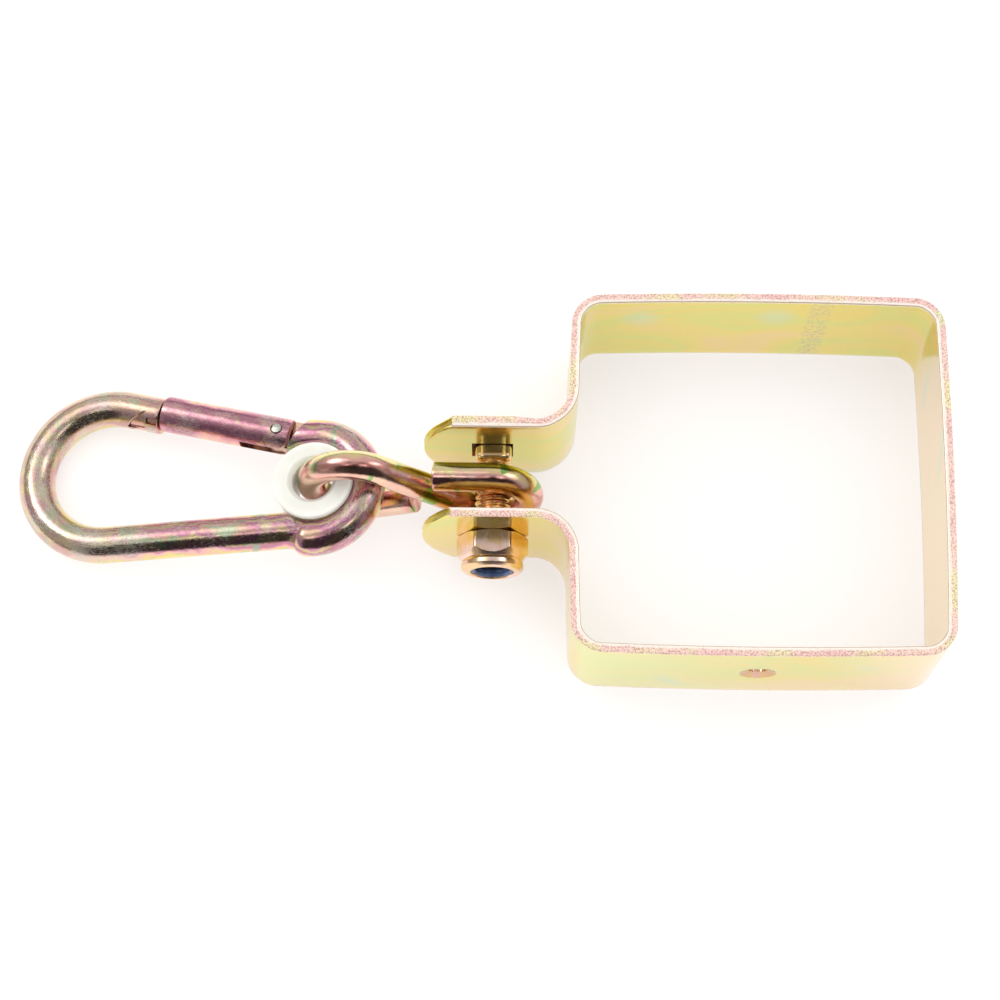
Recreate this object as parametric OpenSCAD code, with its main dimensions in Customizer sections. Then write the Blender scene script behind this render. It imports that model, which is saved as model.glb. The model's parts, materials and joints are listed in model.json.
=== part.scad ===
// Swing hanger for a square wooden beam: a folded steel band clamps round the
// beam, an S-link swings on the clamp bolt, and a spring snap hook hangs from
// the link on a nylon bushing. Millimetres. The origin is the centre of the
// beam opening at half the band's width, +Z runs along the beam and the ears
// point to -X.

/* [Band] */
// Clear width of the beam opening, along X
opening_x = 96; // [90:1:110]
// Clear height of the beam opening, along Y
opening_y = 94.5; // [90:0.5:110]
// Width of the steel strip
strip_w = 40; // [36:1:50]
// Thickness of the steel strip
strip_t = 2.5; // [2:0.1:3]
// Inner radius of the band's corners
corner_r = 5.5; // [4:0.5:8]
// Inner radius of the bends between wall and ear
ear_bend_r = 9; // [7:0.5:10]
// Height of the upper ear's inner face above the middle
ear_up_y = 11.5; // [11:0.1:13]
// Depth of the lower ear's inner face below the middle
ear_low_y = 10.8; // [10.5:0.1:13]
// Reach of the ears from the middle of the opening
ear_reach = 90; // [88:1:95]
// Radius of the arc that ends each ear
ear_tip_r = 29; // [26:1:40]
// Diameter of the wood-screw hole
screw_d = 5.5; // [4:0.5:6]
// Diameter of its countersink
screw_sink_d = 9.6; // [8:0.2:11]

/* [Bolt and nut] */
// Distance of the bolt's axis from the middle of the opening
bolt_reach = 71; // [70:0.5:73]
// Thread diameter of the carriage bolt
bolt_d = 10; // [8:1:10]
// Length of the bolt under its head
bolt_len = 35; // [34:0.5:36]
// Diameter of the domed head
head_d = 24; // [20:0.5:25]
// Height of the domed head
head_h = 5.2; // [4:0.1:6]
// Length of the square neck
neck_len = 6.2; // [5:0.1:7]
// Width across the lock nut's flats
nut_af = 17; // [16:0.5:18]
// Height of the lock nut
nut_h = 10; // [9:0.5:12]

/* [S-link] */
// Diameter of the link's rod
link_rod = 8; // [7:0.5:8]
// Centre-line radius of the eye on the bolt
bolt_eye_r = 9.75; // [9.75:0.25:11]
// Centre-line radius of the eye that carries the bushing
far_eye_r = 12; // [11.5:0.25:12.5]
// Distance between the two eyes
eye_gap = 37.5; // [37:0.25:40]

/* [Bushing] */
// Diameter of the bushing's flanges
flange_d = 22; // [20:0.5:22]
// Height of the bushing
bushing_h = 13; // [12:0.5:14]
// Diameter of the bushing's hole
bushing_hole = 11.2; // [10.5:0.25:11.5]

/* [Snap hook] */
// Diameter of the hook's rod
hook_rod = 10; // [9:0.5:10]
// Centre-line radius of the large bow
big_bow_r = 20.4; // [20:0.1:22]
// Centre-line radius of the small bow
small_bow_r = 14.8; // [14.6:0.1:15.2]
// Distance between the centres of the two bows
bow_gap = 58.2; // [55:0.2:62]
// Diameter of the hinge rivet
rivet_d = 2.8; // [2.4:0.1:3.2]

/* [Pose at rest] */
// Turn of the link about Z, far eye towards +Y
link_yaw = 3.5; // [0:0.1:8]
// Dip of the link's far eye
link_dip = 1.2; // [0:0.1:10]
// Lean of the link's top towards +Y
link_lean = 8.6; // [0:0.1:12]
// Shift of the link along the bolt
link_shift = -0.9; // [-1.5:0.1:1]
// How far the bushing has slipped down round the far eye
bushing_slip = 8.5; // [0:0.1:20]
// Shift of the bushing against the link's rod, along the rod's own play
bushing_side = -0.9; // [-1.4:0.1:1.4]
// Turn of the hook about Z
hook_yaw = 5.1; // [0:0.1:8]
// Dip of the hook's large bow, which rests on the ground
hook_dip = 8.78; // [6:0.01:12]
// Lean of the hook's gate side upwards
hook_lean = 4.6; // [-4:0.1:8]

/* [Hidden] */
$fn = 96;

half_x = opening_x / 2;
half_y = opening_y / 2;
half_w = strip_w / 2;
eps = 0.01;
ring_h = 0.4;
ring_proud = 0.02;

// Bolt and nut along the bolt's axis, measured down from the upper ear
thread_pitch = 1.5;
thread_depth = 0.9;
thread_d = bolt_d - 0.1;
neck_w = 10;
neck_round = 1;
neck_hole = 11.2;
hole_d = 11;
nut_hex_h = 6.6;
nut_bore = bolt_d;
collar_d = 16.8;
mouth_d = 11.6;
insert_h = 3;
insert_d = 12.6;
insert_hole = 9.2;
tip_y = ear_up_y + strip_t - bolt_len;

// S-link in its own plane, bolt eye at the origin, far eye towards -X
rod_r = link_rod / 2;
cross_angle = asin((bolt_eye_r + far_eye_r) / eye_gap);
near_droop = 6;
near_reach = 16;
far_lift = 24;
far_reach = 16.2;

// Bushing
groove_r = hook_rod / 2 + 0.25;
rim = 1.3;
bushing_r = far_eye_r - 1.1;
flange_edge = 0.4;

// Snap hook in its own plane, small bow at the origin, large bow towards -X,
// gate towards +Y. The legs are tangent to the large bow and run in more
// steeply than the small bow needs, so that it stands out as a neck.
hook_r = hook_rod / 2;
leg_slope = 8.25;
leg_start = [-bow_gap + big_bow_r * sin(leg_slope), big_bow_r * cos(leg_slope)];
function leg_y(x) = leg_start.y - (x - leg_start.x) * tan(leg_slope);
neck_x = -5.9;
bow_play = 0.8;
neck_angle = acos(neck_x / small_bow_r);
leg_len = (neck_x - leg_start.x) / cos(leg_slope);
neck_len_in = 0.7;
neck_turn_in = 9;

hinge_x = -11.6;
split_x = -45;
hinge_out = 1;
hinge = [hinge_x, leg_y(hinge_x) + hinge_out];
split_slant = 11;
split_gap = 0.5;
shoulder_slant = 32;
shoulder_gap = 5.0;
tail_len = 3.6;
tail_round = 4.8;
tongue_t = 3.2;
tongue_r = 4.2;
slot_w = 3.6;
slot_len = 10.2;
notch_x = -49.5;
notch_len = 6.3;
rivet_len = 10.4;
rivet_room = 0.05;
spring_bore = 5.4;
spring_bore_len = 26;
spring_d = 4.9;
spring_wire = 0.7;
spring_len = 11;
spring_turns = 8;
plunger_d = 5.2;
plunger_head = 4;
plunger_stem = 3;
plunger_stem_d = 3;
plunger_travel_room = 1.9;
gold = [0.80, 0.72, 0.42];
rose = [0.74, 0.58, 0.50];
dark_blue = [0.05, 0.07, 0.20];
milky = [0.92, 0.93, 0.90];
steel = [0.62, 0.62, 0.60];

// ---------- shared shapes ----------

// A bend of the strip, seen along Z: a ring sector about the origin
module strip_bend(inner_r, from, to) {
    intersection() {
        difference() {
            circle(inner_r + strip_t);
            circle(inner_r);
        }
        far = 4 * inner_r;
        polygon([[0, 0], far * [cos(from), sin(from)],
                 far * [cos((from + to) / 2), sin((from + to) / 2)] * 1.5,
                 far * [cos(to), sin(to)]]);
    }
}

// A round rod bent to an arc in the XY plane
module rod_arc(centre_r, radius, from, to) {
    rotate([0, 0, from])
        rotate_extrude(angle = to - from) translate([centre_r, 0]) circle(radius);
}

// A straight round rod from one point to a length along an angle in the XY
// plane, with a hair-thick ring at the ends that run into a bend
module rod_line(start, angle, length, radius, ends = [true, true]) {
    translate([start.x, start.y, 0]) rotate([0, 0, angle]) rotate([0, 90, 0]) {
        cylinder(h = length, r = radius);
        for (i = [0, 1]) if (ends[i]) translate([0, 0, i * length - ring_h / 2])
            cylinder(h = ring_h, r = radius + ring_proud);
    }
}

// Along the bolt: local +Z becomes -Y, and height 0 is the upper ear's outer face
module on_bolt() {
    translate([-bolt_reach, ear_up_y + strip_t, 0]) rotate([90, 0, 0]) children();
}

// The link's own frame, placed on the bolt
module on_link() {
    translate([-bolt_reach, link_shift, 0])
        rotate([-link_lean, -link_dip, -link_yaw]) children();
}

// The bushing's own frame, axis along Z, placed on the far eye
module on_bushing() {
    on_link()
        translate([-eye_gap - bushing_r * cos(bushing_slip), bushing_side,
                   -bushing_r * sin(bushing_slip)])
            rotate([link_lean, link_dip, 0]) rotate([0, 0, link_yaw - hook_yaw])
                rotate([-hook_lean, -hook_dip, 0]) children();
}

// The hook's own frame, shifted by its play towards the large bow
module on_hook() {
    on_bushing() translate([-bow_play, 0, 0]) children();
}

// The gate's own frame: origin on the hinge, +X towards the nose
module on_gate() {
    on_hook() translate([hinge.x, hinge.y, 0]) rotate([0, 0, 180 - leg_slope]) children();
}

// ---------- clamp ----------

// Centre of the bend that leads from a wall to an ear
bend_x = -half_x - strip_t - ear_bend_r;

module band_half(ear_y) {
    // wall between corner and ear bend, the ear, and its bend
    bend_y = ear_y + strip_t + ear_bend_r;
    translate([-half_x - strip_t, bend_y])
        square([strip_t, half_y - corner_r - bend_y]);
    translate([bend_x, bend_y]) strip_bend(ear_bend_r, -90, 0);
    translate([-ear_reach, ear_y]) square([ear_reach + bend_x, strip_t]);
    // corners and the far wall
    translate([-half_x + corner_r, half_y - corner_r]) strip_bend(corner_r, 90, 180);
    translate([half_x - corner_r, half_y - corner_r]) strip_bend(corner_r, 0, 90);
    translate([-half_x + corner_r, half_y]) square([opening_x - 2 * corner_r, strip_t]);
    translate([half_x, 0]) square([strip_t, half_y - corner_r]);
}

module ear_end() {
    // everything that the ears' rounded ends leave outside
    cut = 12;
    translate([-ear_reach - cut, -half_y, -half_w]) difference() {
        translate([0, 0, -1]) cube([2 * cut, opening_y, strip_w + 2]);
        translate([cut + ear_tip_r, -1, half_w]) rotate([-90, 0, 0])
            cylinder(h = opening_y + 2, r = ear_tip_r);
    }
}

module band() {
    color(gold) difference() {
        translate([0, 0, -half_w]) linear_extrude(strip_w) {
            band_half(ear_up_y);
            mirror([0, 1]) band_half(ear_low_y);
        }
        ear_end();
        // square hole for the bolt's neck, round hole on the nut's side
        translate([-bolt_reach - neck_hole / 2 - 0.3, ear_up_y - 1, -neck_hole / 2])
            cube([neck_hole, strip_t + 2, neck_hole]);
        translate([-bolt_reach, -ear_low_y + 1, 0]) rotate([90, 0, 0])
            cylinder(h = strip_t + 2, d = hole_d);
        // countersunk screw hole in the wall away from the head of the bolt
        translate([0, -half_y + 1, 0]) rotate([90, 0, 0]) {
            cylinder(h = strip_t + 2, d = screw_d);
            translate([0, 0, strip_t]) cylinder(h = 1 + eps, d1 = screw_d, d2 = screw_sink_d);
            translate([0, 0, strip_t + 1]) cylinder(h = 1, d = screw_sink_d);
        }
    }
}

module bolt_head() {
    // a dome: part of a ball, above a short rim
    edge_h = 1;
    dome_h = head_h - edge_h;
    ball_r = (head_d * head_d / 4 + dome_h * dome_h) / (2 * dome_h);
    translate([0, 0, -edge_h]) cylinder(h = edge_h, d = head_d);
    intersection() {
        translate([0, 0, -edge_h - dome_h + ball_r]) sphere(ball_r);
        translate([0, 0, -head_h]) cylinder(h = dome_h, d = head_d);
    }
}

module bolt_thread(from, to) {
    turns = floor((to - from) / thread_pitch);
    r = thread_d / 2;
    root = r - thread_depth;
    flank = thread_pitch * 0.36;
    rotate_extrude() polygon(concat([[0, from], [root, from]],
        [for (i = [0 : turns - 1]) let (z = from + i * thread_pitch)
            each [[root, z + 0.1], [r, z + flank], [r, z + thread_pitch - flank],
                  [root, z + thread_pitch - 0.1]]],
        [[root, to], [0, to]]));
}

module carriage_bolt() {
    color(rose) on_bolt() {
        bolt_head();
        intersection() {
            translate([-neck_w / 2, -neck_w / 2, -eps]) cube([neck_w, neck_w, neck_len + eps]);
            rotate([0, 0, 45]) translate([0, 0, neck_len / 2])
                cube([neck_w * sqrt(2) - neck_round, neck_w * sqrt(2) - neck_round,
                      neck_len + 1], center = true);
        }
        bolt_thread(neck_len - eps, bolt_len);
    }
}

module nut_shape() {
    // hexagon with one flat up, chamfered below, and the round collar above it
    across_corners = nut_af / cos(30);
    intersection() {
        cylinder(h = nut_hex_h, d = across_corners, $fn = 6);
        union() {
            cylinder(h = 1, d1 = nut_af, d2 = across_corners + 0.4);
            translate([0, 0, 1]) cylinder(h = nut_hex_h - 2, d = across_corners + 0.4);
            translate([0, 0, nut_hex_h - 1])
                cylinder(h = 1, d1 = across_corners + 0.4, d2 = nut_af - 0.2);
        }
    }
    translate([0, 0, nut_hex_h - eps]) cylinder(h = nut_h - nut_hex_h - 1 + eps, d = collar_d);
    translate([0, 0, nut_h - 1]) cylinder(h = 1, d1 = collar_d, d2 = collar_d - 2);
}

module on_nut() {
    translate([-bolt_reach, -ear_low_y - strip_t, 0]) rotate([90, 0, 0]) children();
}

module lock_nut() {
    color(gold) on_nut() difference() {
        nut_shape();
        translate([0, 0, -1]) cylinder(h = nut_h + 2, d = nut_bore + 0.1);
        translate([0, 0, nut_hex_h]) cylinder(h = insert_h, d = insert_d);
        translate([0, 0, nut_hex_h + insert_h - eps]) cylinder(h = 2, d = mouth_d);
    }
}

module nut_insert() {
    tip = -ear_low_y - strip_t - tip_y - nut_hex_h;
    color(dark_blue) on_nut() translate([0, 0, nut_hex_h]) difference() {
        cylinder(h = insert_h, d = insert_d);
        translate([0, 0, -1]) cylinder(h = insert_h + 2, d = insert_hole);
        translate([0, 0, -1]) cylinder(h = tip + 1.1, d = thread_d + 0.1);
    }
}

// ---------- link and bushing ----------

module s_link() {
    near_end = 90 + near_droop;
    near_start = bolt_eye_r * [cos(near_end), sin(near_end)];
    near_len = (near_start.x + near_reach) / cos(near_droop);
    far_end = 270 + far_lift;
    far_centre = [-eye_gap, 0];
    far_start = far_centre + far_eye_r * [cos(far_end), sin(far_end)];
    far_len = (far_reach - far_eye_r * cos(far_end)) / cos(far_lift);
    shank_start = bolt_eye_r * [-sin(cross_angle), -cos(cross_angle)];
    color(rose) on_link() rotate([90, 0, 0]) {
        rod_arc(bolt_eye_r, rod_r, -90 - cross_angle, near_end);
        rod_line(near_start, 180 + near_droop, near_len, rod_r, [true, false]);
        rod_line(shank_start, 180 - cross_angle, eye_gap * cos(cross_angle), rod_r);
        translate([far_centre.x, far_centre.y, 0])
            rod_arc(far_eye_r, rod_r, 90 - cross_angle, far_end);
        rod_line(far_start, far_lift, far_len, rod_r, [true, false]);
    }
}

module bushing() {
    half_h = bushing_h / 2;
    flange_r = flange_d / 2;
    hole_r = bushing_hole / 2;
    color(milky) on_bushing() rotate_extrude() difference() {
        polygon([[hole_r + rim, -half_h], [flange_r - flange_edge, -half_h],
                 [flange_r, -half_h + flange_edge], [flange_r, half_h - flange_edge],
                 [flange_r - flange_edge, half_h], [hole_r + rim, half_h],
                 [hole_r, half_h - rim], [hole_r, -half_h + rim]]);
        groove_x = small_bow_r - bow_play;
        translate([groove_x, 0]) circle(groove_r);
        translate([groove_x, -groove_r]) square([groove_r, 2 * groove_r]);
    }
}

// ---------- snap hook ----------

// Half plane to the side that a slanted cut points to, through a point
module beyond(point, angle, distance) {
    size = 60;
    translate([point.x, point.y, 0]) rotate([0, 0, angle])
        translate([distance, -size / 2, -size / 2]) cube(size);
}

module hook_body() {
    split_point = [split_x, leg_y(split_x)];
    nose_len = (split_x + 4 - leg_start.x) / cos(leg_slope);
    color(gold) on_hook() difference() {
        union() {
            translate([-bow_gap, 0, 0])
                rod_arc(big_bow_r, hook_r, 90 - leg_slope, 270 + leg_slope);
            // spine
            rod_line([leg_start.x, -leg_start.y], leg_slope, leg_len + neck_len_in, hook_r,
                     [true, false]);
            // nose
            difference() {
                rod_line(leg_start, -leg_slope, nose_len, hook_r, [true, false]);
                beyond(split_point, -split_slant, -split_gap);
            }
            // small bow
            difference() {
                rod_arc(small_bow_r, hook_r, -neck_angle - neck_turn_in, neck_angle);
                beyond(hinge, 180 - shoulder_slant, -shoulder_gap);
            }
            // flat tongue in the gate's slot
            translate([0, 0, -tongue_t / 2]) linear_extrude(tongue_t) {
                translate(hinge) circle(tongue_r);
                translate(hinge) rotate(-leg_slope / 2)
                    translate([0, -tongue_r]) square([8, 2 * tongue_r]);
            }
        }
        // wedge-shaped notches behind the nose, above and below a middle web
        for (side = [0, 1]) mirror([0, 0, side])
            translate([notch_x, leg_y(notch_x), tongue_t / 2]) rotate([0, 0, -leg_slope])
                linear_extrude(hook_rod)
                    polygon([[0, 0.2], [0, -hook_rod], [-notch_len, -hook_rod],
                             [-notch_len, -3.6]]);
        translate([hinge.x, hinge.y, -hook_rod]) cylinder(h = 2 * hook_rod, d = rivet_d);
    }
}

gate_len = (hinge_x - split_x) / cos(leg_slope);

module gate() {
    color(rose) on_gate() difference() {
        translate([-tail_len - 3, 0, 0]) rotate([0, 90, 0])
            cylinder(h = gate_len + tail_len + 8, r = hook_r);
        // slanted end at the nose, and square tail rounded about the hinge
        beyond([gate_len, 0], leg_slope - split_slant, 0);
        beyond([0, 0], 180, tail_len);
        translate([0, 0, -hook_rod]) linear_extrude(2 * hook_rod) difference() {
            translate([-2 * tail_len, -10]) square([2 * tail_len, 20]);
            circle(tail_round);
            translate([-2 * tail_len, -10]) square([2 * tail_len, 10]);
        }
        // slot for the tongue, open at the tail
        translate([-20, -hook_rod, -slot_w / 2]) cube([20 + slot_len, 2 * hook_rod, slot_w]);
        translate([-20, 0, 0]) rotate([0, 90, 0])
            cylinder(h = 20 + spring_bore_len, d = spring_bore);
        translate([0, 0, -hook_rod])
            cylinder(h = 2 * hook_rod, d = rivet_d + 2 * rivet_room);
    }
}

module gate_rivet() {
    color(steel) on_gate() translate([0, 0, -rivet_len / 2]) cylinder(h = rivet_len, d = rivet_d);
}

// Start of the plunger, just past the tongue's round end
plunger_x = tongue_r + 0.3;

module gate_plunger() {
    color(steel) on_gate() translate([plunger_x, 0, 0]) rotate([0, 90, 0]) {
        cylinder(h = plunger_head, d = plunger_d);
        translate([0, 0, plunger_head - eps]) cylinder(h = plunger_stem + eps, d = plunger_stem_d);
    }
}

module gate_spring() {
    start = plunger_x + plunger_head + plunger_travel_room;
    steps = 16;
    sides = 6;
    coil_r = (spring_d - spring_wire) / 2;
    rise = spring_len / spring_turns;
    rings = spring_turns * steps;
    points = [for (i = [0 : rings]) let (a = 360 * i / steps)
        for (k = [0 : sides - 1]) let (b = 360 * k / sides, r = coil_r + spring_wire / 2 * cos(b))
            [start + rise * i / steps + spring_wire / 2 * sin(b), r * cos(a), r * sin(a)]];
    walls = [for (i = [0 : rings - 1]) for (k = [0 : sides - 1]) let (n = (k + 1) % sides)
        [i * sides + k, i * sides + n, (i + 1) * sides + n, (i + 1) * sides + k]];
    first = [for (k = [sides - 1 : -1 : 0]) k];
    last = [for (k = [0 : sides - 1]) rings * sides + k];
    color(steel) on_gate() polyhedron(points, concat(walls, [first, last]));
}

band();
carriage_bolt();
lock_nut();
nut_insert();
s_link();
bushing();
hook_body();
gate();
gate_rivet();
gate_spring();
gate_plunger();
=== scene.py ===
"""Looks of a swing hanger: a folded steel band for a square beam, an S-link on its
clamp bolt, a nylon bushing and a spring snap hook. The larger steel parts are plated
with yellow zinc. Shapes are in millimetres, which make() turns into the frame's metres;
materials, lights and camera are in metres."""

import json
from math import acos, asin, atan2, ceil, cos, degrees, hypot, pi, radians, sin, sqrt, tan

import bmesh
import bpy
from mathutils import Matrix, Vector, noise


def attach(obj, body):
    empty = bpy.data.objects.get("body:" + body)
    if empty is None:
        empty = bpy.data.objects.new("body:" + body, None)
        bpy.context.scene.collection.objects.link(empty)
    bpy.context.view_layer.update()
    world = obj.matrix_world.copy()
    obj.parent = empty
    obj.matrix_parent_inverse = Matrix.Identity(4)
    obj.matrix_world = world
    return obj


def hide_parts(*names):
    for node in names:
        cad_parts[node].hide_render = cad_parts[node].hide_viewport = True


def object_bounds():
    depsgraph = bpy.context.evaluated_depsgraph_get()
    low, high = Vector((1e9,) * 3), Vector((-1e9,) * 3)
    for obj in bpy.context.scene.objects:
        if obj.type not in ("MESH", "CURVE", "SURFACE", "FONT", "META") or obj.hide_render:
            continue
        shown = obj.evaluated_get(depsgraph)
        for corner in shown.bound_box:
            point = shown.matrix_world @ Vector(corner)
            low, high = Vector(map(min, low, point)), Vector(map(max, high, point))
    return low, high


MM = 0.001

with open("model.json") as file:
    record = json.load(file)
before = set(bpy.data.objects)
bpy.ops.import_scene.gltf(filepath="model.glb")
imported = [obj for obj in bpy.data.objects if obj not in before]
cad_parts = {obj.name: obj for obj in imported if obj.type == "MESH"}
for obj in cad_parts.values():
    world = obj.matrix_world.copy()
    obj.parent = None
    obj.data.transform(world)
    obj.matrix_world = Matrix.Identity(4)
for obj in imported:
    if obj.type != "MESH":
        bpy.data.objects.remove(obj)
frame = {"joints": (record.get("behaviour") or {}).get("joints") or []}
cad_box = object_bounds()
JOINTS = {j["name"]: j for j in frame["joints"]}

# -------- sizes

STRIP_T = 2.5
STRIP_W = 40
OPENING_X = 96
OPENING_Y = 94.5
CORNER_R = 5.5
EAR_BEND_R = 9
EAR_UP_Y = 11.5
EAR_LOW_Y = 10.8
EAR_REACH = 90
EAR_TIP_R = 29
EAR_BURR = 0.6
EAR_BURR_Z = 17
EAR_HOLE = 11
STRIP_EDGE = 0.45
ROLL_OUT = 0.2
ROLL_IN = 0.45
WALL_BOW = 0.45
EAR_FADE_X = -62
EAR_FADE_LEN = 8
SCREW_D = 5.5
SCREW_SINK_D = 9.6

BOLT_D = 10
BOLT_LEN = 35
HEAD_D = 24
HEAD_H = 5.2
NECK_W = 10
NECK_LEN = 6.2
NECK_HOLE = 11.2
NECK_HOLE_SHIFT = -0.3
PITCH = 1.5
THREAD_DEPTH = 0.85

NUT_AF = 17
NUT_HEX_H = 6.6
NUT_H = 10
COLLAR_D = 16.8
MOUTH_D = 11.6
INSERT_D = 12.6
INSERT_HOLE = 9.2
INSERT_H = 3

LINK_R = 4
BOLT_EYE_R = 9.75
FAR_EYE_R = 12
NEAR_DROOP = 6
NEAR_REACH = 16
FAR_LIFT = 24
FAR_REACH = 16.2

FLANGE_D = 22
BUSHING_H = 13
BUSHING_HOLE = 11.2
RIM = 1.3
BOW_PLAY = 0.8

HOOK_R = 5
SPINE_X = -2
SPINE_SLANT = 34
SPINE_SKIP = 6
NOSE_SHORT = 2.2
BIG_BOW_R = 20.4
SMALL_BOW_R = 14.8
BOW_GAP = 58.2
LEG_SLOPE = 8.25
BOW_SHORT = 22
FLANK_START = (-5, -13.1)
FLANK_SLANT = -11
FLANK_LEN = 7.6
FLANK_R = 4.5
NECK_X = -5.9
HINGE_X = -11.6
HINGE_OUT = 1
SPLIT_X = -45
SPLIT_SLANT = 11
SPLIT_GAP = 0.5
SHOULDER_SLANT = 32
SHOULDER_GAP = 5
TAIL_LEN = 3.6
TAIL_ROUND = 4.8
TONGUE_T = 3.2
TONGUE_R = 4.2
TONGUE_REACH = 8
SLOT_W = 3.6
SLOT_LEN = 10.2
NOTCH_X = -49.5
NOTCH_CORE_R = 4.4
NOTCH_WEB = 0.3
RAMP = [(0, -1.0), (0.25, -7), (-5.6, -7), (-5.0, -4.8)]
GROOVE = [(0.6, -2.8), (3.6, -2.8), (3.6, -4.1), (0.6, -4.1)]
NECK_TURN = 100
NECK_ROLL = 3.2
RIVET_D = 2.8
RIVET_LEN = 10.4
SPRING_BORE = 5.4
SPRING_BORE_LEN = 26
SPRING_D = 4.9
SPRING_WIRE = 0.7
SPRING_LEN = 11
SPRING_TURNS = 8
PLUNGER_D = 5.2
PLUNGER_HEAD = 4
PLUNGER_STEM = 3
PLUNGER_STEM_D = 3
PLUNGER_ROOM = 1.9

ROD_SIDES = 72
TURNED_SIDES = 120
NUT_SIDES = 240
STEP = 0.8

HALF_X, HALF_Y = OPENING_X / 2, OPENING_Y / 2
HALF_W = STRIP_W / 2
MID = STRIP_T / 2
BEND_X = -HALF_X - STRIP_T - EAR_BEND_R


# -------- local frames


def axes(origin, x, z):
    """Local frame as a matrix in millimetres, from its origin, X and Z directions."""
    x, z = Vector(x).normalized(), Vector(z).normalized()
    y = z.cross(x).normalized()
    x = y.cross(z)
    rows = Matrix((x, y, z)).transposed().to_4x4()
    return Matrix.Translation(origin) @ rows


def place(joint):
    """A joint's place, in millimetres."""
    return Vector(JOINTS[joint]["pos_m"]) / MM


def axis(joint):
    return Vector(JOINTS[joint]["axis"]).normalized()


# Link: X from the far eye to the bolt's eye. Its rod lies in the local XY plane.
link_normal = -axis("bushing_slide")
far_eye = place("bushing_slide")
bolt_axis_point = place("link_swing")
drop = link_normal.dot(far_eye - bolt_axis_point) / link_normal.y
bolt_eye = bolt_axis_point + Vector((0, drop, 0))
link_x = (bolt_eye - far_eye).normalized()
LINK = axes(bolt_eye, link_x, -link_normal)
EYE_GAP = (bolt_eye - far_eye).length

# Hook: X towards the small bow, Z along the bushing's axis.
hook_z = axis("hook_swing")
gate_x = axis("plunger_slide")
hook_x = Matrix.Rotation(radians(LEG_SLOPE - 180), 3, hook_z) @ gate_x
BUSHING = axes(place("hook_swing"), hook_x, hook_z)
HOOK = BUSHING @ Matrix.Translation((-BOW_PLAY, 0, 0))
GATE = axes(place("gate_open"), gate_x, hook_z)

# Bolt: Z down the bolt from the upper ear's outer face. Nut: from the lower ear's.
BOLT = axes(bolt_axis_point + Vector((0, EAR_UP_Y + STRIP_T, 0)), (1, 0, 0), (0, -1, 0))
NUT = axes(bolt_axis_point - Vector((0, EAR_LOW_Y + STRIP_T, 0)), (1, 0, 0), (0, -1, 0))
WORLD = Matrix.Identity(4)
Z_TO_X = Matrix.Rotation(radians(90), 4, "Y")


# -------- mesh tools


def linked(name, data):
    """New object, linked to the scene."""
    obj = bpy.data.objects.new(name, data)
    bpy.context.scene.collection.objects.link(obj)
    return obj


def make(name, verts, faces, grain, matrix=WORLD):
    """Mesh object from millimetre points. grain holds, for each point, what the materials
    read: its run along the part, 1 on a cut face, and its place in the section."""
    mesh = bpy.data.meshes.new(name)
    mesh.from_pydata([(matrix @ Vector(v)) * MM for v in verts], [], faces)
    for layer, pick in (("run", (0, 1)), ("round", (2, 3))):
        uv = mesh.uv_layers.new(name=layer)
        for loop in mesh.loops:
            g = grain[loop.vertex_index]
            uv.data[loop.index].uv = (g[pick[0]], g[pick[1]])
    bm = bmesh.new()
    bm.from_mesh(mesh)
    bmesh.ops.recalc_face_normals(bm, faces=bm.faces)
    bm.to_mesh(mesh)
    bm.free()
    return linked(name, mesh)


def loft(name, sections, matrix=WORLD, closed=False, runs=None, rounds=None, cut=0):
    """Skin over rings of equal length. closed joins the last ring to the first, and
    otherwise both ends are capped. cut is 1 where the skin is a cut face."""
    count = len(sections[0])
    if runs is None:
        runs = [0]
        centres = [sum((Vector(p) for p in s), Vector()) / count for s in sections]
        for a, b in zip(centres, centres[1:]):
            runs.append(runs[-1] + (b - a).length)
    verts, faces, grain = [], [], []
    for s, run in zip(sections, runs):
        for j, p in enumerate(s):
            a = 2 * pi * j / count
            c, d = rounds[j] if rounds else (cos(a), sin(a))
            verts.append(p)
            grain.append((run, cut, c, d))
    rows = len(sections)
    for i in range(rows if closed else rows - 1):
        k = (i + 1) % rows
        for j in range(count):
            n = (j + 1) % count
            faces.append((i * count + j, i * count + n, k * count + n, k * count + j))
    if not closed:
        for row in (0, rows - 1):
            middle = sum((Vector(p) for p in sections[row]), Vector()) / count
            verts.append(middle)
            grain.append((runs[row], 1, 0, 0))
            hub = len(verts) - 1
            for j in range(count):
                faces.append((row * count + j, row * count + (j + 1) % count, hub))
    return make(name, verts, faces, grain, matrix)


def angles(count):
    return [2 * pi * j / count for j in range(count)]


def lathe(name, profile, matrix, sides=96, closed=False, wobble=0, cut=0):
    """Turned part from (radius, height) points, round local Z."""
    sections, runs, run, last = [], [], 0, None
    for r, z in profile:
        if last:
            run += hypot(r - last[0], z - last[1])
        last = (r, z)
        runs.append(run)
        ring = []
        for a in angles(sides):
            q = r + wobble * noise.noise(Vector((cos(a) * 2, sin(a) * 2, z * 0.4)))
            ring.append((q * cos(a), q * sin(a), z))
        sections.append(ring)
    return loft(name, sections, matrix, closed=closed, runs=runs, cut=cut)


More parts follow.
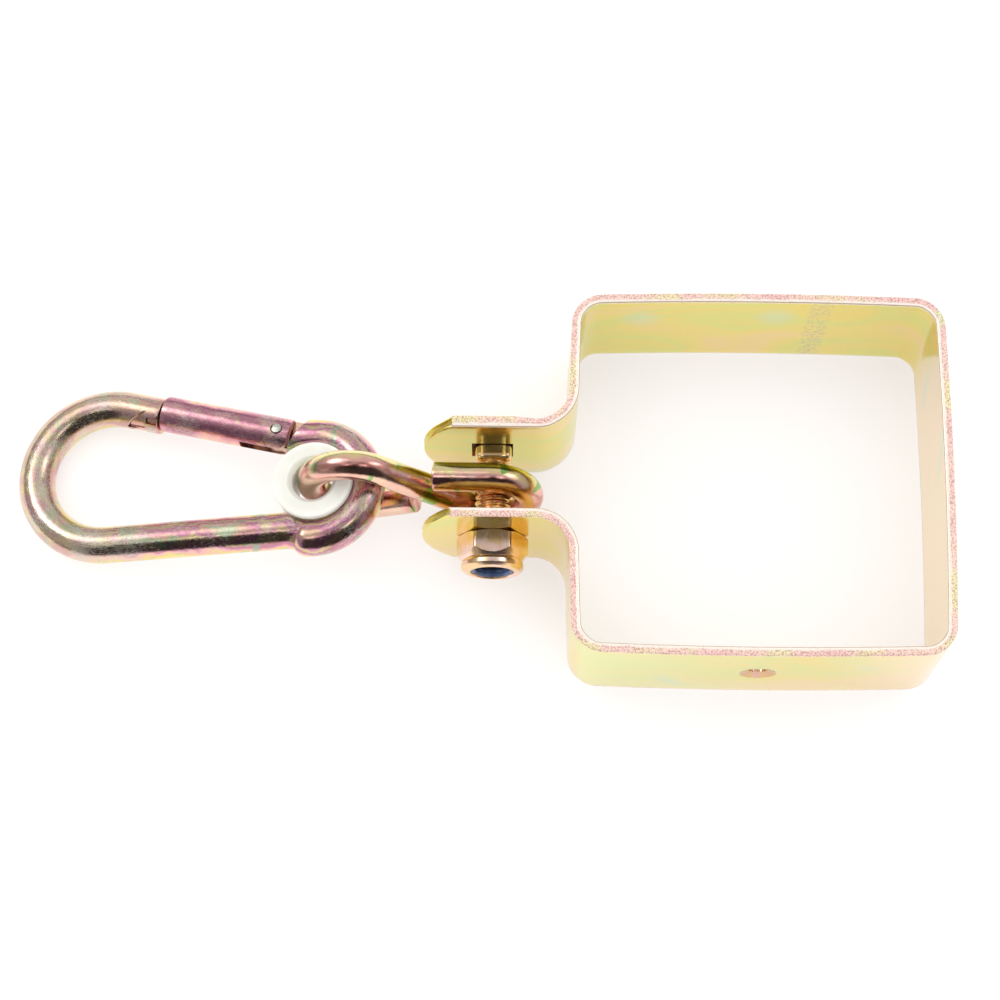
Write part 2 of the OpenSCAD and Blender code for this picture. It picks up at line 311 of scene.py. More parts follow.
def rounded(profile, radius, steps=5):
    """Profile with its corners rounded: each point may carry its own radius."""
    out = []
    for i, point in enumerate(profile):
        p = Vector(point[:2])
        r = point[2] if len(point) > 2 else radius
        if i in (0, len(profile) - 1) or r == 0:
            out.append(tuple(p))
            continue
        a = Vector(profile[i - 1][:2]) - p
        b = Vector(profile[i + 1][:2]) - p
        half = a.angle(b) / 2
        cut = min(r / tan(half), a.length * 0.49, b.length * 0.49)
        a, b = a.normalized() * cut, b.normalized() * cut
        for k in range(steps + 1):
            t = k / steps
            out.append(tuple(p + a * (1 - t) ** 2 + b * t ** 2))
    return out


def ring_profile(points, radius, steps=4):
    """Closed profile with every corner rounded, for a part with a through hole."""
    doubled = [points[-1]] + list(points) + [points[0]]
    return rounded(doubled, radius, steps)[1:-1]


def turtle(start, heading, moves, step=STEP):
    """Plane path of ("line", length) and ("arc", radius, degrees): points, headings."""
    x, y = start
    path = [(x, y, heading)]
    for kind, *sizes in moves:
        if kind == "line":
            count = max(1, ceil(sizes[0] / step))
            for _ in range(count):
                x += sizes[0] / count * cos(radians(heading))
                y += sizes[0] / count * sin(radians(heading))
                path.append((x, y, heading))
        else:
            radius, turn = sizes
            count = max(2, ceil(abs(radians(turn)) * radius / step))
            side = 90 if turn > 0 else -90
            for _ in range(count):
                cx = x + radius * cos(radians(heading + side))
                cy = y + radius * sin(radians(heading + side))
                heading += turn / count
                x = cx - radius * cos(radians(heading + side))
                y = cy - radius * sin(radians(heading + side))
                path.append((x, y, heading))
    return path


def left_of(heading):
    return Vector((-sin(radians(heading)), cos(radians(heading)), 0))


def rod_ring(x, y, heading, radius):
    """Round section across a plane path. Point 0 is at the left of the path."""
    side, up = left_of(heading) * radius, Vector((0, 0, radius))
    return [Vector((x, y, 0)) + side * cos(a) + up * sin(a) for a in angles(ROD_SIDES)]


def end_rings(x, y, heading, radius, plane, roll, outwards, dish=0):
    """Rings that end a rod at a plane (point, normal), with a rolled edge."""
    point, normal = Vector((*plane[0], 0)), Vector((*plane[1], 0)).normalized()
    along = Vector((cos(radians(heading)), sin(radians(heading)), 0)) * outwards
    rings = []
    stages = [(radius - roll + roll * cos(t), roll - roll * sin(t))
              for t in (k * pi / 10 for k in range(6))]
    flat = radius - roll
    stages += [(flat * k, dish * (1 - k * k)) for k in (0.85, 0.6, 0.3, 0.1)]
    for r, back in stages:
        ring = []
        for p in rod_ring(x, y, heading, r):
            reach = (point - p).dot(normal) / along.dot(normal)
            ring.append(p + along * (reach - back))
        rings.append(ring)
    return rings


def rod(name, path, radius, matrix, start=None, end=None, roll=0.5, end_roll=None, dish=0):
    """Round rod along a plane path; start and end are planes that cut it."""
    sections = [rod_ring(*p, radius) for p in path]
    if start:
        sections = end_rings(*path[0], radius, start, roll, -1, dish)[::-1] + sections
    if end:
        sections += end_rings(*path[-1], radius, end, end_roll or roll, 1, dish)
    return loft(name, sections, matrix)


def prism(outline, low, high, matrix):
    """Cutter: plane outline carried from low to high along local Z."""
    n = len(outline)
    verts = [(x, y, z) for z in (low, high) for x, y in outline]
    faces = [tuple(range(n)), tuple(range(n, 2 * n))]
    faces += [(i, (i + 1) % n, n + (i + 1) % n, n + i) for i in range(n)]
    return make("cutter", verts, faces, [(0, 1, 0, 0)] * (2 * n), matrix)


def arc_points(cx, cy, r, a, b, count=24):
    return [(cx + r * cos(radians(a + (b - a) * k / count)),
             cy + r * sin(radians(a + (b - a) * k / count))) for k in range(count + 1)]


def settle(obj):
    """Applies the object's modifiers to its mesh."""
    graph = bpy.context.evaluated_depsgraph_get()
    graph.update()
    mesh = bpy.data.meshes.new_from_object(obj.evaluated_get(graph))
    obj.modifiers.clear()
    obj.data = mesh


def combine(obj, others, operation="DIFFERENCE"):
    """Boolean of an object with each of the others, which are used up."""
    for other in others:
        mod = obj.modifiers.new("combine", "BOOLEAN")
        mod.operation, mod.solver, mod.object = operation, "EXACT", other
        settle(obj)
        bpy.data.objects.remove(other)
    return obj


def finish_piece(obj, name, body, node, material, sharp=32):
    """Cleans the mesh, then parents it to its body and hides the CAD node that it stands in for.
    """
    obj.name = obj.data.name = name
    bm = bmesh.new()
    bm.from_mesh(obj.data)
    bmesh.ops.remove_doubles(bm, verts=bm.verts, dist=0.002 * MM)
    bmesh.ops.dissolve_degenerate(bm, edges=bm.edges, dist=0.001 * MM)
    bm.to_mesh(obj.data)
    bm.free()
    obj.data.shade_smooth()
    obj.data.set_sharp_from_angle(angle=radians(sharp))
    obj.data.materials.clear()
    obj.data.materials.append(material)
    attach(obj, body)
    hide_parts(node)


# -------- materials


class Nodes:
    """Short calls for building a node tree."""

    def __init__(self, tree):
        self.tree = tree
        tree.nodes.clear()

    def add(self, kind, **settings):
        node = self.tree.nodes.new("ShaderNode" + kind)
        for key, value in settings.items():
            setattr(node, key, value)
        return node

    def wire(self, source, target):
        self.tree.links.new(source, target)

    def feed(self, socket, value):
        if isinstance(value, bpy.types.NodeSocket):
            self.wire(value, socket)
        else:
            socket.default_value = value

    def put(self, node, inputs):
        """Feeds a node's inputs, given by their names."""
        for key, value in inputs.items():
            self.feed(node.inputs[key], value)

    def coordinates(self, kind):
        return self.add("TexCoord").outputs[kind]

    def parts(self, vector):
        """The three components of a vector."""
        node = self.add("SeparateXYZ")
        self.wire(vector, node.inputs[0])
        return node.outputs

    def relief(self, shader, height, strength, depth):
        """Bumps the shader's normal; depth is in metres."""
        node = self.add("Bump")
        self.put(node, {"Strength": strength, "Distance": depth, "Height": height})
        self.wire(node.outputs[0], shader.inputs["Normal"])

    def math(self, operation, a, b=0.5, c=0.5):
        node = self.add("Math", operation=operation)
        for socket, value in zip(node.inputs, (a, b, c)):
            self.feed(socket, value)
        return node.outputs[0]

    def times(self, a, b):
        return self.math("MULTIPLY", a, b)

    def scaled(self, value, factor, offset):
        return self.math("MULTIPLY_ADD", value, factor, offset)

    def plus(self, a, b):
        return self.math("ADD", a, b)

    def between(self, value, rise, fall):
        """1 between the two slopes and 0 outside them; a slope is (0 here, 1 here)."""
        return self.times(self.remap(value, *rise), self.remap(value, *fall))

    def remap(self, value, low, high, to_low=0.0, to_high=1.0, smooth=True):
        node = self.add("MapRange")
        node.interpolation_type = "SMOOTHSTEP" if smooth else "LINEAR"
        for socket, v in zip(node.inputs, (value, low, high, to_low, to_high)):
            self.feed(socket, v)
        return node.outputs[0]

    def vector(self, operation, a, b):
        node = self.add("VectorMath", operation=operation)
        self.feed(node.inputs[0], a)
        self.feed(node.inputs[1], b)
        return node.outputs["Value" if operation in ("DOT_PRODUCT", "DISTANCE") else "Vector"]

    def noise(self, vector, scale, detail=3.0, rough=0.55, distortion=0.0):
        node = self.add("TexNoise")
        self.put(node, {"Vector": vector, "Scale": scale, "Detail": detail,
                        "Roughness": rough, "Distortion": distortion})
        return node.outputs["Fac"]

    def ramp(self, value, stops):
        node = self.add("ValToRGB")
        node.color_ramp.interpolation = "EASE"
        elements = node.color_ramp.elements
        while len(elements) < len(stops):
            elements.new(1.0)
        for element, (where, colour) in zip(elements, stops):
            element.position = where
            element.color = (*colour, 1)
        self.feed(node.inputs[0], value)
        return node.outputs[0]

    def mix(self, factor, a, b):
        node = self.add("Mix", data_type="RGBA")
        self.feed(node.inputs["Factor"], factor)
        for key, value in (("A", a), ("B", b)):
            socket = [s for s in node.inputs if s.name == key and s.type == "RGBA"][0]
            self.feed(socket, value if isinstance(value, bpy.types.NodeSocket) else (*value, 1))
        return [s for s in node.outputs if s.type == "RGBA"][0]


def new_material(name):
    material = bpy.data.materials.new(name)
    material.use_nodes = True
    nodes = Nodes(material.node_tree)
    shader = nodes.add("BsdfPrincipled")
    output = nodes.add("OutputMaterial")
    nodes.wire(shader.outputs[0], output.inputs[0])
    return material, nodes, shader


# Hues of the plating, and one painted shade at the end.
GOLD = (0.78, 0.66, 0.22)
PALE_GOLD = (0.85, 0.76, 0.36)
ROSE = (0.88, 0.48, 0.44)
MAGENTA = (0.56, 0.25, 0.36)
SILVER = (0.66, 0.64, 0.56)
AQUA = (0.58, 0.74, 0.55)
PEACH = (0.90, 0.70, 0.50)
YELLOW_GREEN = (0.76, 0.80, 0.34)
DARK_PIT = (0.12, 0.09, 0.08)
CUT_ROD = (0.62, 0.38, 0.32)
CUT_STRIP = (0.62, 0.34, 0.26)
RUBBED = (0.50, 0.48, 0.38)
# painted shade for the line where a strip's rolled edge meets its inner face
EDGE_SHADE_LINE = (0.36, 0.24, 0.14)

# Places in the plating, in metres: where the hook pales to its far end, and marks on the
# inside of the far wall.
FADE_FROM, FADE_TO = -0.150, -0.182
FAR_WALL_Y = 0.0472
AQUA_SPOTS = ((-0.031, 0.008), (0.006, 0.009))
MARK_X = 0.0175
MARK_HALF_W = 0.0035


def grain_vector(nodes, run_scale, round_scale):
    """Seamless coordinates along and round a rod, then the height and place across its
    section and whether the face is a cut one."""
    run, cut = nodes.parts(nodes.add("UVMap", uv_map="run").outputs[0])[:2]
    across, height = nodes.parts(nodes.add("UVMap", uv_map="round").outputs[0])[:2]
    joined = nodes.add("CombineXYZ")
    nodes.put(joined, {"X": nodes.times(run, run_scale), "Y": nodes.times(across, round_scale),
                       "Z": nodes.times(height, round_scale)})
    return joined.outputs[0], height, cut, across


def rod_zinc(name, stops, patch, patch_amount, wear, rough=0.14, patch_at=0.57, faded=None):
    """Plated rod: hues in bands round the section, partly the plating's own colour and partly
    painted reflections and shade, broken by patches, with rubbed streaks along it. faded is the
    hue of the hook's far end."""
    material, nodes, shader = new_material(name)
    spot = nodes.coordinates("Object")
    grain, height, cut_face, _ = grain_vector(nodes, 0.12, 1.0)
    broad = nodes.noise(spot, 75, 2.0, 0.5, 0.6)
    streak = nodes.noise(grain, 1.6, 4.0, 0.6, 0.4)
    # band coordinate, which sets the hues; these are partly the plating's own and partly painted
    # reflection and shade bands: 1 on the rod's top and 0.3 low on its sides, rising again below,
    # and less on the faces turned away from the camera, a painted shift
    level = nodes.remap(height, -1, 1, -0.3, 0.7, smooth=False)
    level = nodes.plus(nodes.math("ABSOLUTE", level), 0.3)
    # painted shift: faces turned towards +Y, away from the camera, take other band hues, as their
    # reflections would
    facing = nodes.parts(nodes.coordinates("Normal"))
    away_face_painted_shift = nodes.remap(facing[1], 0.25, 0.92, 0.0, -0.34)
    wander = nodes.scaled(broad, 0.8, -0.40)
    wander = nodes.scaled(streak, 0.36, nodes.plus(wander, -0.18))
    plating_and_painted_reflection_band = nodes.scaled(level, 0.8, nodes.plus(wander, away_face_painted_shift))
    # the ramp paints reflection and shade bands round the rod together with the plating's hues
    colour = nodes.ramp(plating_and_painted_reflection_band, stops)
    spots = nodes.remap(nodes.noise(spot, 130, 2.0, 0.5, 0.8), patch_at, patch_at + 0.08)
    colour = nodes.mix(nodes.times(spots, patch_amount), colour, patch)
    if faded:
        split = nodes.parts(spot)
        far_end = nodes.remap(split[0], FADE_FROM, FADE_TO, 0.0, 0.4)
        far_end = nodes.times(far_end, nodes.remap(level, 0.35, 0.6))
        colour = nodes.mix(far_end, colour, faded)
    # rubbed streaks and small scratches show bare, duller zinc
    fine = grain_vector(nodes, 0.9, 14.0)[0]
    rub = nodes.noise(fine, 1.0, 7.0, 0.78)
    rub_zone = nodes.noise(spot, 95, 2.0)
    rubbed = nodes.remap(nodes.scaled(rub_zone, 0.5, rub), 0.76, 0.88)
    rubbed = nodes.times(rubbed, wear)
    colour = nodes.mix(rubbed, colour, SILVER)
    grit = nodes.noise(spot, 2600, 3.0, 0.6)
    colour = nodes.mix(nodes.remap(grit, 0.36, 0.27, 0, 0.45), colour, DARK_PIT)
    # a cut face is browner
    colour = nodes.mix(nodes.times(cut_face, 0.8), colour, CUT_ROD)
    rough_mix = nodes.scaled(rub, 0.22, rough - 0.09)
    rough_mix = nodes.scaled(rubbed, 0.22, rough_mix)
    nodes.put(shader, {"Base Color": colour, "Metallic": 1.0, "Roughness": rough_mix})
    waves = nodes.noise(spot, 420, 3.0, 0.55)
    mixed = nodes.scaled(rub, 0.55, waves)
    nodes.relief(shader, mixed, 0.5, 0.00010)
    return material


def wall_colour(nodes, spot):
    """Pale gold with soft patches, some of them tied to one wall."""
    x, y, z = nodes.parts(spot)
    stretched = nodes.vector("MULTIPLY", spot, (1.0, 1.0, 2.2))
    broad = nodes.noise(stretched, 22, 2.0, 0.45, 0.8)
    colour = nodes.ramp(broad, [(0.32, (0.86, 0.66, 0.27)), (0.45, (0.83, 0.69, 0.19)),
                                (0.57, (0.74, 0.71, 0.20)), (0.70, (0.84, 0.68, 0.17))])
    # plating turns peach on the wall away from the ears and on the foot of the walls
    beside = nodes.remap(x, 0.012, 0.05)
    not_far_wall = nodes.remap(y, 0.030, 0.044, 1.0, 0.0)
    peach = nodes.times(nodes.times(beside, not_far_wall), 0.8)
    foot = nodes.times(nodes.remap(z, -0.004, -0.019), 0.45)
    peach = nodes.math("MAXIMUM", peach, nodes.times(foot, not_far_wall))
    colour = nodes.mix(peach, colour, PEACH)
    # the wall with the screw hole is greener towards the ears
    near_wall = nodes.remap(y, -0.046, -0.048)
    greener = nodes.times(near_wall, nodes.remap(x, 0.015, -0.04))
    colour = nodes.mix(nodes.times(greener, 0.7), colour, YELLOW_GREEN)
    aqua = nodes.remap(nodes.noise(spot, 46, 1.5, 0.4, 0.3), 0.63, 0.76)
    for along, up in AQUA_SPOTS:
        gap = nodes.vector("DISTANCE", spot, (along, FAR_WALL_Y, up))
        aqua = nodes.math("MAXIMUM", aqua, nodes.remap(gap, 0.008, 0.001, 0.0, 0.8))
    colour = nodes.mix(nodes.times(aqua, 0.55), colour, AQUA)
    # rubbed mark across the inside of the far wall
    gap = nodes.math("ABSOLUTE", nodes.plus(x, -MARK_X))
    mark = nodes.times(nodes.remap(gap, MARK_HALF_W, MARK_HALF_W - 0.001),
                       nodes.between(y, (0.046, 0.047), (0.0492, 0.0486)))
    scribble = nodes.remap(nodes.noise(spot, 1100, 2.0, 0.7), 0.48, 0.56)
    mark = nodes.times(mark, scribble)
    return nodes.mix(nodes.times(mark, 0.45), colour, RUBBED)


def flat_zinc():
    """Plated strip: mirror-like walls and coarse edges, sheared pink on one half, with a
    near-white painted highlight on the rolled other half.
    """
    material, nodes, shader = new_material("band_zinc")
    spot = nodes.coordinates("Object")
    colour = wall_colour(nodes, spot)
    # edge faces look along Z
    _, height, cut_face, across = grain_vector(nodes, 1.0, 1.0)
    edge_zone = nodes.remap(nodes.math("ABSOLUTE", height), 0.955, 0.985)
    ragged = nodes.noise(spot, 420, 3.0, 0.6)
    sheared = nodes.remap(nodes.scaled(ragged, 0.9, across), 0.05, 0.34)
    sheared = nodes.times(sheared, edge_zone)
    speckle = nodes.noise(nodes.vector("MULTIPLY", spot, (1.0, 1.0, 0.4)), 2100, 4.0, 0.7)
    edge_hue = nodes.noise(spot, 85, 2.0, 0.5)
    edge_colour = nodes.ramp(edge_hue, [(0.35, (0.84, 0.76, 0.46)), (0.48, (0.92, 0.66, 0.58)),
                                        (0.62, (0.90, 0.58, 0.55)), (0.75, (0.78, 0.78, 0.52))])
    edge_colour = nodes.mix(nodes.remap(speckle, 0.54, 0.40, 0, 0.75), edge_colour,
                            (0.38, 0.20, 0.16))
    # painted highlight: the rolled inner half of each edge is coloured near white, with dark
    # specks
    painted_highlight_edge = nodes.mix(nodes.remap(speckle, 0.46, 0.38, 0, 0.4), (0.86, 0.77, 0.69),
                          (0.50, 0.30, 0.24))
    colour = nodes.mix(edge_zone, colour, painted_highlight_edge)
    colour = nodes.mix(sheared, colour, edge_colour)
    colour = nodes.mix(nodes.times(cut_face, 0.75), colour, CUT_STRIP)
    # painted shade: a fine dark line where the rolled edge meets the inner face
    painted_edge_shade = nodes.times(nodes.between(across, (-0.72, -0.86), (-0.99, -0.93)), edge_zone)
    colour = nodes.mix(nodes.times(painted_edge_shade, 0.75), colour, EDGE_SHADE_LINE)
    # the half with the painted highlight is also made less metallic, so that it shows white
    painted_highlight_half = nodes.times(edge_zone, nodes.math("SUBTRACT", 1.0, sheared))
    dull = nodes.scaled(painted_highlight_half, 0.65, nodes.times(sheared, 0.5))
    metallic = nodes.math("SUBTRACT", 1.0, dull)
    rolled = nodes.noise(nodes.vector("MULTIPLY", spot, (0.25, 0.25, 3.0)), 900, 3.0, 0.6)
    rough = nodes.scaled(rolled, 0.08, 0.13)
    rough = nodes.scaled(sheared, 0.16, rough)
    nodes.put(shader, {"Base Color": colour, "Metallic": metallic, "Roughness": rough})
    height = nodes.times(speckle, nodes.scaled(sheared, 1.6, 0.012))
    nodes.relief(shader, height, 0.6, 0.00012)
    return material


def turned_zinc(name, stops, rough):
    """Plated bolt or nut: warm gold with orange and pink patches."""
    material, nodes, shader = new_material(name)
    spot = nodes.coordinates("Object")
    broad = nodes.noise(spot, 160, 2.0, 0.5, 0.7)
    colour = nodes.ramp(broad, stops)
    fine = nodes.noise(spot, 2200, 4.0, 0.65)
    colour = nodes.mix(nodes.remap(fine, 0.40, 0.30, 0, 0.4), colour, (0.25, 0.14, 0.08))
    nodes.put(shader, {"Base Color": colour, "Metallic": 1.0,
                       "Roughness": nodes.scaled(fine, 0.18, rough - 0.08)})
    nodes.relief(shader, nodes.noise(spot, 900, 3.0, 0.6), 0.25, 0.00006)
    return material


def bright_steel():
    material, nodes, shader = new_material("rivet_steel")
    spot = nodes.coordinates("Object")
    fine = nodes.noise(spot, 1500, 4.0, 0.6)
    colour = nodes.ramp(fine, [(0.35, (0.38, 0.38, 0.33)), (0.6, (0.74, 0.75, 0.66))])
    nodes.put(shader, {"Base Color": colour, "Metallic": 1.0,
                       "Roughness": nodes.scaled(fine, 0.3, 0.15)})
    nodes.relief(shader, fine, 0.5, 0.0001)
    return material


def milky_nylon():
    material, nodes, shader = new_material("clear_nylon")
    spot = nodes.coordinates("Object")
    cloud = nodes.noise(spot, 130, 3.0, 0.5)
    colour = nodes.ramp(cloud, [(0.3, (0.58, 0.575, 0.53)), (0.7, (0.65, 0.645, 0.60))])
    # a faint glow stands for the light that comes through the plastic
    nodes.put(shader, {"Base Color": colour, "Roughness": 0.34, "IOR": 1.53,
                       "Subsurface Weight": 0.7, "Subsurface Scale": 0.004,
                       "Subsurface Radius": (1.0, 0.95, 0.85),
                       "Emission Color": (1.0, 0.98, 0.88, 1), "Emission Strength": 0.08})
    nodes.relief(shader, nodes.noise(spot, 1800, 3.0, 0.6), 0.2, 0.00005)
    return material


def blue_nylon():
    material, nodes, shader = new_material("blue_nylon")
    spot = nodes.coordinates("Object")
    cloud = nodes.noise(spot, 500, 3.0, 0.6)
    colour = nodes.ramp(cloud, [(0.3, (0.02, 0.04, 0.10)), (0.75, (0.07, 0.12, 0.26))])
    nodes.put(shader, {"Base Color": colour, "Roughness": 0.28})
    nodes.relief(shader, cloud, 0.3, 0.00008)
    return material


BAND_ZINC = flat_zinc()
HOOK_ZINC = rod_zinc(
    "hook_zinc",
    [(0.24, (0.90, 0.74, 0.30)), (0.33, GOLD), (0.42, ROSE), (0.51, MAGENTA),
     (0.60, (0.50, 0.24, 0.27)), (0.69, (0.66, 0.52, 0.30)), (0.78, (0.60, 0.26, 0.38)),
     (0.87, (0.72, 0.46, 0.34)), (0.96, (0.50, 0.58, 0.40))],
    (0.26, 0.48, 0.30), 0.65, wear=0.75, faded=(0.76, 0.62, 0.42))
GATE_ZINC = rod_zinc(
    "gate_zinc",
    [(0.24, (0.90, 0.76, 0.42)), (0.35, ROSE), (0.46, (0.72, 0.32, 0.40)),
     (0.57, (0.44, 0.17, 0.25)), (0.70, (0.52, 0.23, 0.31)), (0.82, (0.66, 0.36, 0.38)),
     (0.94, (0.82, 0.56, 0.42))],
    (0.56, 0.42, 0.28), 0.6, wear=0.55, rough=0.17)
LINK_ZINC = rod_zinc(
    "link_zinc",
    [(0.26, PALE_GOLD), (0.40, (0.90, 0.62, 0.38)), (0.52, ROSE), (0.63, (0.60, 0.26, 0.22)),
     (0.74, (0.82, 0.46, 0.38)), (0.90, (0.88, 0.60, 0.44))],
    (0.20, 0.46, 0.12), 0.85, wear=0.3, rough=0.1, patch_at=0.60)
NUT_ZINC = turned_zinc(
    "nut_zinc",
    [(0.32, (0.86, 0.70, 0.36)), (0.46, (0.88, 0.60, 0.34)), (0.58, (0.94, 0.66, 0.56)),
     (0.72, (0.95, 0.74, 0.66))], 0.22)
BOLT_ZINC = turned_zinc(
    "bolt_zinc",
    [(0.30, (0.88, 0.56, 0.24)), (0.50, (0.90, 0.66, 0.36)), (0.70, (0.86, 0.50, 0.30))], 0.16)
STEEL = bright_steel()
MILKY = milky_nylon()
BLUE = blue_nylon()

# -------- band


def band_warp(x, y):
    """Walls of the folded strip stand slightly proud at mid length, but the ears don't."""
    ear_fade = min(1, max(0, (x - EAR_FADE_X) / EAR_FADE_LEN))
    sx = max(-1, min(1, x / HALF_X)) ** 5 * ear_fade
    sy = max(-1, min(1, y / HALF_Y)) ** 5
    return (x + sx * WALL_BOW * (1 - 2 * min(1, abs(y / HALF_Y)) ** 2),
            y + sy * WALL_BOW * (1 - 2 * min(1, abs(x / HALF_X)) ** 2))


def half_band(ear_y):
    """Mid-line of one half of the strip, from the ear to the middle of the far wall."""
    bend = EAR_BEND_R + MID
    corner = CORNER_R + MID
    wall = HALF_Y - CORNER_R - (ear_y + STRIP_T + EAR_BEND_R)
    return turtle((BEND_X, ear_y + MID), 0,
                  [("arc", bend, 90), ("line", wall), ("arc", corner, -90),
                   ("line", OPENING_X - 2 * CORNER_R), ("arc", corner, -90),
                   ("line", HALF_Y - CORNER_R)])


def strip_section(x, y, heading):
    """Rounded rectangle across the strip, left side of the path first, and the same
    points as (thickness, width) pairs. The long sides are divided, so that they can bend."""
    side = left_of(heading)
    out = []
    for sign_t, sign_z, first in ((1, 1, 0), (-1, 1, 90), (-1, -1, 180), (1, -1, 270)):
        edge = ROLL_OUT if sign_t > 0 else ROLL_IN
        for k in range(5):
            a = radians(first + 22.5 * k)
            t = sign_t * (MID - edge) + edge * cos(a)
            z = sign_z * (HALF_W - edge) + edge * sin(a)
            out.append((t, z))
    rows = []
    for i, (t, z) in enumerate(out):
        nz = out[(i + 1) % len(out)][1]
        rows.append((t, z))
        if abs(nz - z) > HALF_W:
            spans = 20
            rows += [(t, z + (nz - z) * k / spans) for k in range(1, spans)]
    return [Vector((x, y, 0)) + side * t + Vector((0, 0, z)) for t, z in rows], rows


def ear_end_x(z):
    return -EAR_REACH + EAR_TIP_R - sqrt(EAR_TIP_R ** 2 - z * z)


def ear_sections(ear_y, side):
    """Sections of an ear from its rounded end to its bend; side is 1 for the upper ear."""
    # (kind, thickness lost or share of the way to the bend, distance from the end)
    out = []
    for k in range(5):
        t = radians(90 - 22.5 * k)
        out.append(("tip", STRIP_EDGE * (1 - cos(t)), STRIP_EDGE * (1 - sin(t))))
    count = 30
    out += [("run", u / count, 0) for u in range(1, count)]
    sections = []
    for kind, a, b in out:
        points = []
        for t, z in strip_section(0, 0, 0)[1]:
            end_x = ear_end_x(z)
            if side > 0 and t > 0:
                # the upper ear's edges carry a burr that fades out before the bend
                fade = 1 - max(0, a - 0.7) / 0.3 if kind == "run" else 1
                t += EAR_BURR * fade * max(0, min(1, (abs(z) - EAR_BURR_Z) / 3))
            if kind == "tip":
                thick = (MID - a) / MID
                points.append(Vector((end_x + b, side * (ear_y + MID) + t * thick, z)))
            else:
                start = end_x + STRIP_EDGE
                points.append(Vector((start + (BEND_X - start) * a, side * (ear_y + MID) + t, z)))
        sections.append(points)
    return sections


def make_band():
    upper = half_band(EAR_UP_Y)
    lower = [(x, -y, -h) for x, y, h in half_band(EAR_LOW_Y)]
    line = upper + [(x, y, h + 180) for x, y, h in lower[::-1]][1:]
    points = [band_warp(x, y) for x, y, _ in line]
    sections = ear_sections(EAR_UP_Y, 1)
    for i, (x, y) in enumerate(points):
        a, b = points[max(0, i - 1)], points[min(len(points) - 1, i + 1)]
        heading = degrees(atan2(b[1] - a[1], b[0] - a[0]))
        sections.append(strip_section(x, y, heading)[0])
    # the lower ear runs back, so its section is turned over
    low = []
    for s in ear_sections(EAR_LOW_Y, -1)[::-1]:
        low.append([Vector((p.x, 2 * -(EAR_LOW_Y + MID) - p.y, p.z)) for p in s])
    sections += low
    rounds = [(t / MID, z / HALF_W) for t, z in strip_section(0, 0, 0)[1]]
    obj = loft("band", sections, rounds=rounds)
    # the bolt's holes and the countersunk screw hole
    neck, shift = NECK_HOLE / 2, NECK_HOLE_SHIFT
    square = [(shift - neck, -neck), (shift + neck, -neck), (shift + neck, neck),
              (shift - neck, neck)]
    round_hole = lathe("cutter", [(EAR_HOLE / 2, -1), (EAR_HOLE / 2, STRIP_T + 1.1)],
                       NUT @ Matrix.Translation((0, 0, -STRIP_T)))
    sink = Matrix.Translation((0, -HALF_Y - WALL_BOW, 0)) @ Matrix.Rotation(radians(90), 4, "X")
    profile = [(SCREW_D / 2, -2), (SCREW_D / 2, STRIP_T - 1.1), (SCREW_SINK_D / 2, STRIP_T - 0.1),
               (SCREW_SINK_D / 2 + 0.25, STRIP_T + 0.05), (SCREW_SINK_D / 2 + 0.3, STRIP_T + 2)]
    screw = lathe("cutter", profile, sink, cut=1)
    combine(obj, [prism(square, -1, STRIP_T + 1, BOLT), round_hole, screw])
    finish_piece(obj, "band_strip", "clamp", "band", BAND_ZINC, sharp=38)


make_band()

# -------- bolt and nut


def polar_ring(radius_at, z, sides=TURNED_SIDES):
    """Ring whose radius is a function of the angle."""
    return [(radius_at(a) * cos(a), radius_at(a) * sin(a), z) for a in angles(sides)]


def circle(radius, z, sides=TURNED_SIDES):
    return polar_ring(lambda a: radius, z, sides)


def square_radius(a, width, corner):
    """Radius of a rounded square at an angle."""
    half = width / 2
    edge = half / max(abs(cos(a)), abs(sin(a)))
    reach = half - corner
    diagonal = reach * sqrt(2) + corner
    blend = 12
    return (edge ** -blend + diagonal ** -blend) ** (-1 / blend)


def thread_radius(a, z, top):
    """Radius of the helical thread: a slope each side of a narrow crest and root."""
    phase = (z / PITCH - a / (2 * pi)) % 1.0
    slope = abs(phase - 0.5) * 2
    return top - THREAD_DEPTH * min(1, max(0, (slope - 0.14) / 0.72))


def make_bolt():
    """Domed head, square neck and thread, from the top of the head down."""
    rings = []
    rim = 1.0
    dome = HEAD_H - rim
    ball = (HEAD_D ** 2 / 4 + dome ** 2) / (2 * dome)
    for k in range(1, 25):
        r = HEAD_D / 2 * k / 24
        rings.append(circle(r, -rim - (sqrt(ball ** 2 - r * r) - (ball - dome))))
    rings += [circle(HEAD_D / 2, -0.3), circle(HEAD_D / 2 - 0.25, 0)]
    for k in range(13):
        z = NECK_LEN * k / 12
        width = NECK_W - max(0, z - NECK_LEN + 0.7) * 0.9
        rings.append(polar_ring(lambda a, w=width: square_radius(a, w, 1.6), z))
    top = BOLT_D / 2 - 0.05
    z = NECK_LEN + 0.25
    rings.append(circle(top - THREAD_DEPTH, z))
    step = PITCH / 12
    while z < BOLT_LEN - 0.02:
        z += step
        chamfer = min(top, top - (z - (BOLT_LEN - 1.1)) * 0.9)
        rings.append(polar_ring(
            lambda a, z=z, m=chamfer: min(m, thread_radius(a, z, top)), z))
    obj = loft("bolt", rings, BOLT)
    finish_piece(obj, "bolt_carriage", "clamp", "carriage_bolt", BOLT_ZINC, sharp=50)


def hex_radius(a, flats):
    """Radius of a hexagon with slightly rounded corners, one flat towards +Y."""
    b = (a - pi / 2 + pi / 6) % (pi / 3) - pi / 6
    edge = flats / 2 / cos(b)
    corner = flats / 2 / cos(pi / 6) - 0.18
    return min(edge, corner)


